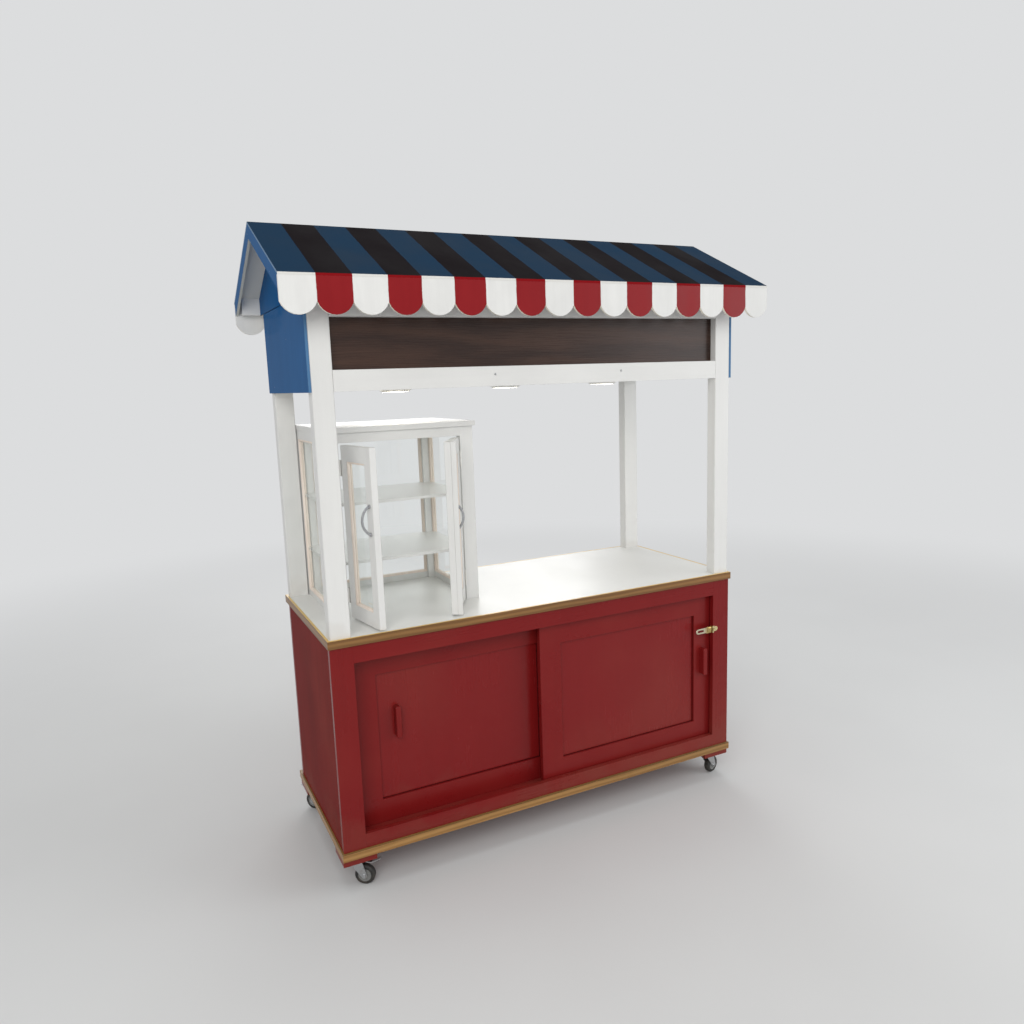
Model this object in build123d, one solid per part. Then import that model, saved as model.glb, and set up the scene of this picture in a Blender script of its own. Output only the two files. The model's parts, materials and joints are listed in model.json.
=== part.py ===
from build123d import *
import math
import os

# A roofed street kiosk on four swivel casters. Millimetres, +X along the counter to the right,
# +Y from the serving side to the back, +Z up. The origin is on the ground under the middle.

# Counter and cabinet
worktop_length = 1500.0
worktop_depth = 620.0
worktop_thickness = 25.0
edge_strip_thickness = 8.0
cabinet_end_overhang = 5.0
cabinet_front_overhang = 7.0
cabinet_back_overhang = 30.0
cabinet_height = 645.0
cabinet_board = 18.0
bottom_board_thickness = 25.0
frame_stile_width = 70.0
frame_top_rail = 55.0
frame_bottom_rail = 45.0

# Sliding doors in two tracks
sliding_door_width = 723.0
sliding_door_thickness = 18.0
pull_side_stile = 76.0
meeting_stile = 80.0
sliding_door_top_rail = 96.0
sliding_door_bottom_rail = 80.0
sliding_panel_thickness = 6.0
sliding_panel_recess = 9.0
sliding_panel_tongue = 8.0
sliding_door_arris = 1.5
front_door_left_edge = -43.0
rear_door_left_edge = -672.0
front_door_gap = 5.0
gap_between_doors = 23.0
track_rear_lip = 15.0
bottom_track_height = 30.0
track_groove_depth = 5.0
track_groove_play = 1.5
door_slide_play = 0.3
top_track_height = 40.0
door_lift_play = 4.0
pull_length = 104.0
pull_width = 18.0
pull_thickness = 24.0
pull_end_bevel = 5.0
pull_face_bevel = 2.0
front_pull_from_edge = 39.5
front_pull_drop = 198.0
rear_pull_inset = 63.0
rear_pull_drop = 184.0

# Hasp
hasp_drop = 128.0
hasp_height = 26.0
hasp_thickness = 1.5
hasp_plate_length = 20.0
hasp_plate_height = 18.0
hasp_leaf_length = 77.0
hasp_knuckle_radius = 3.5
hasp_knuckle_sides = 16
hasp_knuckle_inset = -3.0
hasp_slot_length = 24.0
hasp_slot_width = 9.0
hasp_play = 0.4

# Posts, header and ceiling
post_width = 62.0
post_depth = 42.0
post_end_inset = 10.0
post_front_inset = 8.0
post_arris = 2.0
header_below_eave = 307.0
header_rail_height = 60.0
sign_panel_height = 145.0
sign_panel_thickness = 9.0
sign_recess = 26.0
upper_rail_thickness = 25.0
side_rail_width = 42.0
side_panel_thickness = 8.0
post_top_below_roof = 6.0
ceiling_thickness = 6.0
ceiling_setback = 4.0
lamp_radius = 60.0
lamp_height = 12.0
lamp_rim_width = 6.0
lamp_rim_height = 5.0
lamp_cover_slope = 10.0
lamp_spacing = 400.0
lamp_count = 3
lamp_sides = 40

# Roof
roof_end_overhang = 75.0
roof_eave_overhang = 83.0
eave_above_worktop = 1017.0
ridge_above_worktop = 1211.0
roof_sheet_thickness = 6.0
bargeboard_width = 58.0
bargeboard_thickness = 18.0
scallop_count = 17
valance_drop = 106.0
scallop_depth = 34.0
scallop_steps = 10
valance_thickness = 9.0
eave_batten_width = 30.0
eave_batten_height = 40.0
ridge_beam_width = 40.0
ridge_beam_height = 60.0

# Glazed showcase
case_end_gap = 4.0
case_length = 494.0
case_depth = 395.0
case_height = 600.0
case_back_inset = 22.0
case_top_thickness = 16.0
case_top_overhang = 8.0
case_stile = 45.0
case_stile_depth = 30.0
case_top_rail = 31.0
case_bottom_rail = 22.0
case_rail_depth = 20.0
case_glass_thickness = 4.0
case_shelf_thickness = 9.0
lower_shelf_top = 175.0
upper_shelf_top = 363.0

# Showcase doors, which stand open
case_door_thickness = 21.0
case_door_side_gap = 3.0
case_door_foot_gap = 6.0
case_door_top_gap = 5.0
case_door_stile = 38.0
case_door_top_rail = 48.0
case_door_bottom_rail = 45.0
case_door_arris = 1.5
case_hinge_radius = 3.5
case_hinge_sides = 12
case_hinge_length = 50.0
case_hinge_inset = 70.0
case_hinge_leaf_thickness = 1.2
case_hinge_play = 0.3
left_case_door_open = 80.0
right_case_door_open = 60.0
handle_span = 83.0
handle_reach = 27.0
handle_radius = 4.0
handle_sides = 8
handle_bends = 8
handle_foot_radius = 6.5
handle_foot_height = 4.0
handle_foot_sides = 16
handle_height = 335.0
right_handle_drop = 21.0
closing_strip_width = 10.0
closing_strip_thickness = 15.0

# Casters
caster_block_length = 105.0
caster_block_width = 100.0
caster_block_height = 22.0
caster_block_end_inset = 2.0
caster_block_front_inset = 10.0
caster_swivel_end_inset = 54.5
caster_swivel_front_inset = 60.0
caster_plate_length = 70.0
caster_plate_width = 62.0
caster_plate_thickness = 2.5
caster_plate_corner = 6.0
wheel_radius = 31.5
wheel_width = 22.0
wheel_hub_radius = 21.0
wheel_hub_recess = 3.0
wheel_hub_sides = 24
wheel_boss_radius = 9.0
wheel_boss_sides = 16
tyre_edge_bevel = 4.0
tyre_sides = 70
axle_radius = 4.0
axle_play = 0.2
axle_end_length = 4.0
axle_end_radius = 6.0
fork_trail = 25.0
fork_plate_thickness = 2.5
fork_wheel_play = 2.0
fork_head_radius = 20.0
fork_head_height = 9.5
fork_head_step = 4.0
fork_head_play = 0.4
fork_head_sides = 24
fork_top_half_width = 20.0
fork_shoulder_radius = 5.0
fork_eye_radius = 9.0
fork_eye_sides = 24
caster_height = 93.0
brake_width = 16.0
brake_root = 12.0
brake_bend = 48.0
brake_end = 78.0
brake_fall = 5.0
brake_lift = 14.0
swivel_angles = {"front_left": -32.0, "front_right": 17.0, "back_left": 130.0, "back_right": 40.0}

# Heights worked out from the sizes above
block_top = caster_height + caster_block_height
board_top = block_top + bottom_board_thickness
cabinet_top = board_top + cabinet_height
counter = cabinet_top + worktop_thickness

half_length = worktop_length / 2
half_depth = worktop_depth / 2
cabinet_half_length = half_length - cabinet_end_overhang
cabinet_front = -half_depth + cabinet_front_overhang
cabinet_back = half_depth - cabinet_back_overhang
frame_back = cabinet_front + cabinet_board

post_outer = half_length - post_end_inset
post_inner = post_outer - post_width
post_front = -half_depth + post_front_inset
post_back_face = post_front + post_depth

roof_half_length = half_length + roof_end_overhang
eave_y = half_depth + roof_eave_overhang
eave_z = counter + eave_above_worktop
ridge_z = counter + ridge_above_worktop
roof_rise = (ridge_z - eave_z) / eave_y
roof_angle = math.atan(roof_rise)
sheet_drop = roof_sheet_thickness / math.cos(roof_angle)

rail_bottom = eave_z - header_below_eave
rail_top = rail_bottom + header_rail_height
sign_top = rail_top + sign_panel_height

front_door_face = frame_back + front_door_gap
rear_door_face = front_door_face + sliding_door_thickness + gap_between_doors
sliding_door_bottom = board_top + bottom_track_height - track_groove_depth + door_slide_play
sliding_door_top = cabinet_top - top_track_height + track_groove_depth + door_lift_play
sliding_door_height = sliding_door_top - sliding_door_bottom

case_left = -post_inner + case_end_gap
case_right = case_left + case_length
case_back = half_depth - case_back_inset
case_front = case_back - case_depth
case_underside = counter + case_height - case_top_thickness
case_opening_left = case_left + case_stile
case_opening_right = case_right - case_stile
case_door_bottom = counter + case_door_foot_gap
case_door_top = case_underside - case_top_rail - case_door_top_gap
case_door_width = (case_opening_right - case_opening_left) / 2 - 2 * case_door_side_gap


def slab(x0, x1, y0, y1, z0, z1):
    """A square-cut board between six planes."""
    middle = ((x0 + x1) / 2, (y0 + y1) / 2, (z0 + z1) / 2)
    return Pos(*middle) * Box(abs(x1 - x0), abs(y1 - y0), abs(z1 - z0))


def drum(radius, height, sides):
    """A many-sided upright drum about the origin, light enough to stand for a small cylinder."""
    return extrude(RegularPolygon(radius, sides), amount=height / 2, both=True)


def flip_x(shape):
    return mirror(shape, about=Plane.YZ)


def flip_y(shape):
    return mirror(shape, about=Plane.XZ)


def along_x(points, x0, x1):
    """A profile of (y, z) points extruded from x0 to x1."""
    face = make_face(Plane.YZ * Polyline(*points, close=True))
    return Pos(x0, 0, 0) * extrude(face, amount=x1 - x0, dir=(1, 0, 0))


def arrised(solid, axis, size):
    """The solid with a small bevel on each edge that runs along the axis."""
    return chamfer(solid.edges().filter_by(axis), size)


def roof_top(y):
    return ridge_z - roof_rise * abs(y)


def roof_underside(y):
    return roof_top(y) - sheet_drop


def save(name, *solids):
    shape = solids[0] if len(solids) == 1 else Compound(list(solids))
    export_step(shape, "parts/" + name + ".step")


def edged_board(z0, z1):
    """A board and the four varnished strips that cover its edges."""
    inner_x = half_length - edge_strip_thickness
    inner_y = half_depth - edge_strip_thickness
    core = slab(-inner_x, inner_x, -inner_y, inner_y, z0, z1)
    outline = slab(-half_length, half_length, -half_depth, half_depth, z0, z1)
    return core, outline - core


def make_base():
    board, board_edge = edged_board(block_top, board_top)
    top, top_edge = edged_board(cabinet_top, counter)
    save("bottom_board", board)
    save("worktop", top)
    save("edge_strips", board_edge, top_edge)

    block_x = half_length - caster_block_end_inset
    block_y = half_depth - caster_block_front_inset
    block = slab(block_x - caster_block_length, block_x, -block_y, -block_y + caster_block_width,
                 caster_height, block_top)
    save("caster_blocks", block, flip_x(block), flip_y(block), flip_x(flip_y(block)))


def make_cabinet():
    side = slab(cabinet_half_length - cabinet_board, cabinet_half_length, frame_back,
                cabinet_back - cabinet_board, board_top, cabinet_top)
    save("cabinet_sides", side, flip_x(side))
    save("cabinet_back", slab(-cabinet_half_length, cabinet_half_length, cabinet_back - cabinet_board,
                              cabinet_back, board_top, cabinet_top))

    stile = slab(cabinet_half_length - frame_stile_width, cabinet_half_length, cabinet_front, frame_back,
                 board_top, cabinet_top)
    save("face_frame_stiles", stile, flip_x(stile))
    rail_end = cabinet_half_length - frame_stile_width
    top_rail = slab(-rail_end, rail_end, cabinet_front, frame_back, cabinet_top - frame_top_rail, cabinet_top)
    low_rail = slab(-rail_end, rail_end, cabinet_front, frame_back, board_top, board_top + frame_bottom_rail)
    save("face_frame_rails", top_rail, low_rail)


def track(z0, z1, groove_z0, groove_z1):
    """A wooden strip behind the face frame with a groove for each sliding door."""
    end = cabinet_half_length - cabinet_board
    back = rear_door_face + sliding_door_thickness + track_rear_lip
    strip = slab(-end, end, frame_back, back, z0, z1)
    for face in (front_door_face, rear_door_face):
        strip -= slab(-end, end, face - track_groove_play, face + sliding_door_thickness + track_groove_play,
                      groove_z0, groove_z1)
    return strip


def make_tracks():
    low_top = board_top + bottom_track_height
    high_bottom = cabinet_top - top_track_height
    low = track(board_top, low_top, low_top - track_groove_depth, low_top)
    groove_top = high_bottom + track_groove_depth + 2 * door_lift_play
    high = track(high_bottom, cabinet_top, high_bottom, groove_top)
    save("door_tracks", low, high)


def sliding_door(left, face, left_stile, right_stile):
    """A framed door with a recessed panel held in grooves."""
    right = left + sliding_door_width
    back = face + sliding_door_thickness
    frame = arrised(slab(left, right, face, back, sliding_door_bottom, sliding_door_top), Axis.Z,
                    sliding_door_arris)
    inner = (left + left_stile, right - right_stile)
    heights = (sliding_door_bottom + sliding_door_bottom_rail, sliding_door_top - sliding_door_top_rail)
    frame -= slab(*inner, face, back, *heights)
    tongue = sliding_panel_tongue
    panel_face = face + sliding_panel_recess
    panel = slab(inner[0] - tongue, inner[1] + tongue, panel_face, panel_face + sliding_panel_thickness,
                 heights[0] - tongue, heights[1] + tongue)
    return frame - panel, panel


def pull(x, z, face):
    """An upright wooden bar with bevelled ends, standing proud of a face."""
    block = slab(x - pull_width / 2, x + pull_width / 2, face - pull_thickness, face,
                 z - pull_length / 2, z + pull_length / 2)
    block = arrised(block, Axis.Y, pull_end_bevel)
    return chamfer(block.faces().sort_by(Axis.Y)[0].edges(), pull_face_bevel)


def make_sliding_doors():
    frame, panel = sliding_door(front_door_left_edge, front_door_face, meeting_stile, pull_side_stile)
    pull_x = front_door_left_edge + sliding_door_width - front_pull_from_edge
    opening_top = cabinet_top - frame_top_rail
    save("right_sliding_door_frame", frame)
    save("right_sliding_door_panel", panel)
    pull_z = opening_top - front_pull_drop - pull_length / 2
    save("right_sliding_door_pull", pull(pull_x, pull_z, front_door_face))

    frame, panel = sliding_door(rear_door_left_edge, rear_door_face, pull_side_stile, meeting_stile)
    pull_x = rear_door_left_edge + pull_side_stile + rear_pull_inset
    panel_face = rear_door_face + sliding_panel_recess
    save("left_sliding_door_frame", frame)
    save("left_sliding_door_panel", panel)
    pull_z = opening_top - rear_pull_drop - pull_length / 2
    save("left_sliding_door_pull", pull(pull_x, pull_z, panel_face))


def make_hasp():
    """A plate on the face frame and a slotted leaf that swings on the knuckle between them."""
    z = cabinet_top - frame_top_rail - hasp_drop
    low = z - hasp_height / 2
    high = z + hasp_height / 2
    knuckle_x = cabinet_half_length - frame_stile_width + hasp_knuckle_inset
    knuckle_y = cabinet_front - hasp_knuckle_radius
    third = hasp_height / 3
    barrel = drum(hasp_knuckle_radius, third - 2 * hasp_play, hasp_knuckle_sides)
    barrel = Pos(knuckle_x, knuckle_y, z) * barrel

    half = hasp_plate_height / 2
    plate_root = knuckle_x + hasp_knuckle_radius
    plate_nose = plate_root + hasp_plate_length - half
    fixed = slab(plate_root, plate_nose, cabinet_front - hasp_thickness, cabinet_front, z - half, z + half)
    nose = Pos(plate_nose, cabinet_front - hasp_thickness / 2, z)
    fixed += nose * Rot(90, 0, 0) * Cylinder(half, hasp_thickness)
    for side in (-1, 1):
        fixed += Pos(0, 0, side * third) * barrel
        tab_z = z + side * third
        fixed += slab(knuckle_x, knuckle_x + 2 * hasp_knuckle_radius, cabinet_front - hasp_thickness,
                      cabinet_front, tab_z - third / 2 + hasp_play, tab_z + third / 2 - hasp_play)
    save("hasp_plate", fixed)

    leaf_back = cabinet_front - hasp_play
    leaf_end = knuckle_x - hasp_leaf_length
    leaf_root = knuckle_x - hasp_knuckle_radius
    strip = slab(leaf_end + hasp_height / 2, leaf_root, leaf_back - hasp_thickness, leaf_back, low, high)
    nose = Pos(leaf_end + hasp_height / 2, leaf_back - hasp_thickness / 2, z)
    strip += nose * Rot(90, 0, 0) * Cylinder(hasp_height / 2, hasp_thickness)
    slot = Plane(origin=(leaf_end + hasp_height / 2 + hasp_slot_length / 4, leaf_back, z),
                 x_dir=(1, 0, 0), z_dir=(0, -1, 0))
    strip -= extrude(slot * SlotOverall(hasp_slot_length, hasp_slot_width), amount=hasp_thickness)
    strip += slab(leaf_root, knuckle_x, leaf_back - hasp_thickness, leaf_back,
                  z - third / 2 + hasp_play, z + third / 2 - hasp_play)
    strip += barrel
    save("hasp_leaf", strip)


def make_posts():
    top = roof_underside(post_front) - post_top_below_roof
    post = arrised(slab(post_inner, post_outer, post_front, post_back_face, counter, top), Axis.Z, post_arris)
    save("posts", post, flip_x(post), flip_y(post), flip_x(flip_y(post)))


def make_header():
    low = slab(-post_inner, post_inner, post_front, post_back_face, rail_bottom, rail_top)
    inner = post_front + upper_rail_thickness
    high = along_x([(post_front, sign_top), (inner, sign_top), (inner, roof_underside(inner)),
                    (post_front, roof_underside(post_front))], -post_inner, post_inner)
    end = slab(post_outer - side_rail_width, post_outer, post_back_face, -post_back_face, rail_bottom, rail_top)
    save("header_rails", low, flip_y(low), high, flip_y(high), end, flip_x(end))

    face = post_front + sign_recess
    board = slab(-post_inner, post_inner, face, face + sign_panel_thickness, rail_top, sign_top)
    save("sign_boards", board, flip_y(board))


def make_side_panels():
    """House-shaped boards over the posts, from the header up to the ridge."""
    back = -post_front
    outline = [(post_front, rail_bottom), (back, rail_bottom), (back, roof_underside(back)),
               (0, roof_underside(0)), (post_front, roof_underside(post_front))]
    right = along_x(outline, post_outer, post_outer + side_panel_thickness)
    save("side_panels", right, flip_x(right))


def make_ceiling():
    end = post_outer - side_rail_width
    z = rail_bottom + ceiling_setback
    save("ceiling_board", slab(-end, end, post_back_face, -post_back_face, z, z + ceiling_thickness))
    lamp = Pos(0, 0, z - lamp_rim_height / 2) * drum(lamp_radius, lamp_rim_height, lamp_sides)
    cover_height = lamp_height - lamp_rim_height
    cover = Plane(origin=(0, 0, z - lamp_rim_height), z_dir=(0, 0, -1)) * RegularPolygon(
        lamp_radius - lamp_rim_width, lamp_sides)
    slope = math.degrees(math.atan(lamp_cover_slope / cover_height))
    lamp += extrude(cover, amount=cover_height, taper=slope)
    first = -(lamp_count - 1) / 2 * lamp_spacing
    save("ceiling_lamps", *[Pos(first + index * lamp_spacing, 0, 0) * lamp for index in range(lamp_count)])


def make_roof():
    front = along_x([(-eave_y, eave_z), (0, ridge_z), (0, ridge_z - sheet_drop), (-eave_y, eave_z - sheet_drop)],
                    -roof_half_length, roof_half_length)
    save("front_roof_sheet", front)
    save("back_roof_sheet", flip_y(front))


def make_bargeboards():
    """Two boards at each gable, mitred at the ridge and cut upright behind the valance."""
    foot = -eave_y + valance_thickness
    drop = bargeboard_width / math.cos(roof_angle)
    outline = [(0, roof_underside(0)), (0, roof_underside(0) - drop), (foot, roof_underside(foot) - drop),
               (foot, roof_underside(foot))]
    start = roof_half_length - bargeboard_thickness
    front = along_x(outline, start, roof_half_length)
    save("front_bargeboards", front, flip_x(front))
    save("back_bargeboards", flip_y(front), flip_x(flip_y(front)))


def make_valances():
    """Fascia strips whose lower edge is a row of round scallops."""
    pitch = 2 * roof_half_length / scallop_count
    tip = eave_z - valance_drop
    cusp = tip + scallop_depth
    top = eave_z - sheet_drop
    outline = [(roof_half_length, -eave_y, top), (-roof_half_length, -eave_y, top)]
    for index in range(scallop_count):
        left = -roof_half_length + index * pitch
        arc = ThreePointArc((left, -eave_y, cusp), (left + pitch / 2, -eave_y, tip),
                            (left + pitch, -eave_y, cusp))
        outline += [arc @ (step / scallop_steps) for step in range(scallop_steps)]
    outline.append((roof_half_length, -eave_y, cusp))
    strip = extrude(make_face(Polyline(*outline, close=True)), amount=valance_thickness, dir=(0, 1, 0))
    save("valances", strip, flip_y(strip))


def make_roof_timbers():
    """A beam under the ridge and a batten along each eave."""
    half = ridge_beam_width / 2
    beam_bottom = roof_underside(half) - ridge_beam_height
    beam = along_x([(-half, beam_bottom), (half, beam_bottom), (half, roof_underside(half)),
                    (0, roof_underside(0)), (-half, roof_underside(half))], -post_outer, post_outer)

    outer = -eave_y + valance_thickness
    inner = outer + eave_batten_width
    low = roof_underside(outer) - eave_batten_height
    end = roof_half_length - bargeboard_thickness
    batten = along_x([(outer, low), (inner, low), (inner, roof_underside(inner)), (outer, roof_underside(outer))],
                     -end, end)
    save("roof_timbers", beam, batten, flip_y(batten))


def make_showcase():
    over = case_top_overhang
    top = slab(case_left - over / 4, case_right + over, case_front - over, case_back + over / 2,
               case_underside, counter + case_height)
    save("showcase_top", top)
    stiles = []
    for x in (case_left, case_opening_right):
        for y in (case_front, case_back - case_stile_depth):
            stiles.append(slab(x, x + case_stile, y, y + case_stile_depth, counter, case_underside))
    save("showcase_stiles", *stiles)

    rail_low = case_underside - case_top_rail
    foot = counter + case_bottom_rail
    side_front = case_front + case_stile_depth
    side_back = case_back - case_stile_depth
    rails = [slab(case_opening_left, case_opening_right, case_front, case_front + case_rail_depth,
                  rail_low, case_underside)]
    for z0, z1 in ((rail_low, case_underside), (counter, foot)):
        rails.append(slab(case_opening_left, case_opening_right, case_back - case_rail_depth, case_back, z0, z1))
        rails.append(slab(case_left, case_left + case_rail_depth, side_front, side_back, z0, z1))
        rails.append(slab(case_right - case_rail_depth, case_right, side_front, side_back, z0, z1))
    save("showcase_rails", *rails)

    inset = (case_rail_depth - case_glass_thickness) / 2
    panes = [slab(case_opening_left, case_opening_right, case_back - inset - case_glass_thickness,
                  case_back - inset, foot, rail_low),
             slab(case_left + inset, case_left + inset + case_glass_thickness, side_front, side_back,
                  foot, rail_low),
             slab(case_right - inset - case_glass_thickness, case_right - inset, side_front, side_back,
                  foot, rail_low)]
    save("showcase_glass", *panes)


def shelf(top):
    """A shelf notched round the four stiles, resting against the side panes."""
    inset = (case_rail_depth - case_glass_thickness) / 2 + case_glass_thickness
    front = case_front + case_door_thickness + case_rail_depth / 4
    board = slab(case_left + inset, case_right - inset, front, case_back - inset,
                 counter + top - case_shelf_thickness, counter + top)
    for x in (case_left, case_opening_right):
        for y in (case_front, case_back - case_stile_depth):
            board -= slab(x, x + case_stile, y, y + case_stile_depth, counter, case_underside)
    return board


def make_shelves():
    save("showcase_shelves", shelf(lower_shelf_top), shelf(upper_shelf_top))


def hinge_axis():
    """The upright pin of the left door, in front of the gap beside it."""
    return (case_opening_left + case_door_side_gap / 2, case_front - case_hinge_radius)


def hinge_heights():
    return (case_door_bottom + case_hinge_inset, case_door_top - case_hinge_inset)


def case_hinge_halves(z):
    """A butt hinge: two outer knuckles with the fixed leaf, and the middle one with the door's leaf."""
    x, y = hinge_axis()
    third = case_hinge_length / 3
    knuckle = Pos(x, y, z) * drum(case_hinge_radius, third - case_hinge_play, case_hinge_sides)
    back = case_front + case_door_thickness
    leaf = case_hinge_leaf_thickness
    fixed = slab(case_opening_left, case_opening_left + leaf, case_front, back,
                 z - case_hinge_length / 2, z + case_hinge_length / 2)
    for side in (-1, 1):
        fixed += Pos(0, 0, side * third) * knuckle
        low = z + side * third - third / 2 + case_hinge_play / 2
        fixed += slab(case_opening_left, case_opening_left + leaf, y, case_front, low,
                      low + third - case_hinge_play)
    edge = case_opening_left + case_door_side_gap
    moving = knuckle + slab(edge - leaf, edge, y, case_front, z - third / 2 + case_hinge_play / 2,
                            z + third / 2 - case_hinge_play / 2)
    moving += slab(edge - leaf, edge, case_front, back, z - case_hinge_length / 2, z + case_hinge_length / 2)
    return fixed, moving


def make_case_hinges():
    middle = Plane.YZ.offset((case_left + case_right) / 2)
    fixed = [case_hinge_halves(z)[0] for z in hinge_heights()]
    save("showcase_hinges", *fixed, *[mirror(half, about=middle) for half in fixed])


def closed_case_door(handle_drop):
    """The left showcase door as it stands when shut, hinged at its left edge."""
    left = case_opening_left + case_door_side_gap
    right = left + case_door_width
    back = case_front + case_door_thickness
    opening = (left + case_door_stile, right - case_door_stile)
    heights = (case_door_bottom + case_door_bottom_rail, case_door_top - case_door_top_rail)
    frame = arrised(slab(left, right, case_front, back, case_door_bottom, case_door_top), Axis.Z, case_door_arris)
    frame -= slab(*opening, case_front, back, *heights)

    inset = (case_door_thickness - case_glass_thickness) / 2
    glass = slab(*opening, case_front + inset, back - inset, *heights)

    handle_x = right - case_door_stile / 2
    mid = counter + handle_height - handle_drop
    ends = [mid - handle_span / 2, mid + handle_span / 2]
    arc = ThreePointArc((handle_x, case_front - handle_foot_height, ends[0]),
                        (handle_x, case_front - handle_reach, mid),
                        (handle_x, case_front - handle_foot_height, ends[1]))
    path = Polyline(*[arc @ (step / handle_bends) for step in range(handle_bends + 1)])
    start = Plane(origin=path @ 0, z_dir=path % 0)
    bow = sweep(start * RegularPolygon(handle_radius, handle_sides), path=path, transition=Transition.RIGHT)
    for z in ends:
        foot = Pos(handle_x, case_front - handle_foot_height / 2, z) * Rot(90, 0, 0)
        bow += foot * drum(handle_foot_radius, handle_foot_height, handle_foot_sides)
    hinges = Compound([case_hinge_halves(z)[1] for z in hinge_heights()])
    return frame, glass, bow, hinges


def closing_strip():
    """An upright lath on the outer face of a door, flush with its free edge."""
    edge = case_opening_left + case_door_side_gap + case_door_width
    return slab(edge - closing_strip_width, edge, case_front - closing_strip_thickness, case_front,
                case_door_bottom, case_door_top)


def make_case_doors():
    middle = (case_left + case_right) / 2
    for side, angle, drop in (("left", left_case_door_open, 0), ("right", right_case_door_open, right_handle_drop)):
        hinge_x, hinge_y = hinge_axis()
        swing = Pos(hinge_x, hinge_y, 0) * Rot(0, 0, -angle) * Pos(-hinge_x, -hinge_y, 0)
        pieces = dict(zip(("frame", "glass", "handle", "hinges"), closed_case_door(drop)))
        if side == "right":
            pieces["closing_strip"] = closing_strip()
        for piece, solid in pieces.items():
            solid = swing * solid
            if side == "right":
                solid = mirror(solid, about=Plane.YZ.offset(middle))
            save(side + "_case_door_" + piece, solid)


def caster_fork():
    """The turning half of a caster, trailing towards +X from its upright axis."""
    head_top = caster_height - caster_plate_thickness - fork_head_play
    top = head_top - fork_head_height
    half_gap = wheel_width / 2 + fork_wheel_play
    outer = half_gap + fork_plate_thickness
    fork = Pos(0, 0, top + fork_head_height / 2) * drum(fork_head_radius, fork_head_height, fork_head_sides)
    fork = chamfer(fork.faces().sort_by(Axis.Z)[-1].edges(), fork_head_step)

    eye = Pos(fork_trail, wheel_radius) * RegularPolygon(fork_eye_radius, fork_eye_sides)
    shoulder = top - fork_shoulder_radius
    outline = make_hull([*eye.edges(), Line((-fork_top_half_width, top), (fork_top_half_width, top)),
                         Line((-fork_top_half_width, shoulder), (fork_top_half_width, shoulder))])
    side = Plane(origin=(0, outer, 0), x_dir=(1, 0, 0), z_dir=(0, -1, 0))
    pressing = extrude(side * outline, amount=2 * outer, dir=(0, -1, 0))
    shoulders = pressing.edges().filter_by(Axis.X).group_by(Axis.Z)[-1]
    pressing = fillet(shoulders, fork_shoulder_radius)
    pressing -= slab(-2 * fork_trail, 3 * fork_trail, -half_gap, half_gap, 0, top - fork_plate_thickness)
    fork += pressing

    axle = Pos(fork_trail, 0, wheel_radius) * Rot(90, 0, 0)
    fork += axle * Cylinder(axle_radius, 2 * outer)
    for end in (-1, 1):
        middle = Pos(fork_trail, end * (outer + axle_end_length / 2), wheel_radius) * Rot(90, 0, 0)
        fork += middle * extrude(RegularPolygon(axle_end_radius, 6), amount=axle_end_length / 2, both=True)
    return fork


def brake_pedal():
    """A pressed plate that leaves the fork's crown, falls over the wheel and turns up at its end."""
    crown = caster_height - caster_plate_thickness - fork_head_play - fork_head_height
    top = crown - fork_plate_thickness / 2
    upper = [(brake_root, top), (brake_bend, top - brake_fall), (brake_end, top - brake_fall + brake_lift)]
    lower = [(x, z - fork_plate_thickness) for x, z in reversed(upper)]
    face = make_face(Plane.XZ * Polyline(*upper, *lower, close=True))
    return extrude(face, amount=brake_width / 2, both=True)


def caster_wheel():
    """A tyre with bevelled edges on a dished hub with a boss round the bore."""
    wheel = drum(wheel_radius / math.cos(math.pi / tyre_sides), wheel_width, tyre_sides)
    wheel = chamfer([edge for face in wheel.faces().filter_by(Axis.Z) for edge in face.edges()], tyre_edge_bevel)
    dish = (drum(wheel_hub_radius, wheel_hub_recess, wheel_hub_sides)
            - drum(wheel_boss_radius, wheel_hub_recess, wheel_boss_sides))
    for side in (-1, 1):
        wheel -= Pos(0, 0, side * (wheel_width - wheel_hub_recess) / 2) * dish
    wheel -= Cylinder(axle_radius + axle_play, wheel_width)
    return Pos(fork_trail, 0, wheel_radius) * Rot(90, 0, 0) * wheel


def make_casters():
    swivel_x = half_length - caster_swivel_end_inset
    swivel_y = half_depth - caster_swivel_front_inset
    plates = []
    for name, angle in swivel_angles.items():
        x = swivel_x if name.endswith("right") else -swivel_x
        y = -swivel_y if name.startswith("front") else swivel_y
        plate = slab(x - caster_plate_length / 2, x + caster_plate_length / 2, y - caster_plate_width / 2,
                     y + caster_plate_width / 2, caster_height - caster_plate_thickness, caster_height)
        plates.append(arrised(plate, Axis.Z, caster_plate_corner))
        place = Pos(x, y, 0) * Rot(0, 0, angle)
        fork = caster_fork()
        if name.endswith("left"):
            fork += brake_pedal()
        save(name + "_caster_fork", place * fork)
        save(name + "_caster_wheel", place * caster_wheel())
    save("caster_plates", *plates)


os.makedirs("parts", exist_ok=True)
make_base()
make_cabinet()
make_tracks()
make_sliding_doors()
make_hasp()
make_posts()
make_header()
make_side_panels()
make_ceiling()
make_roof()
make_bargeboards()
make_valances()
make_roof_timbers()
make_showcase()
make_shelves()
make_case_hinges()
make_case_doors()
make_casters()
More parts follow.
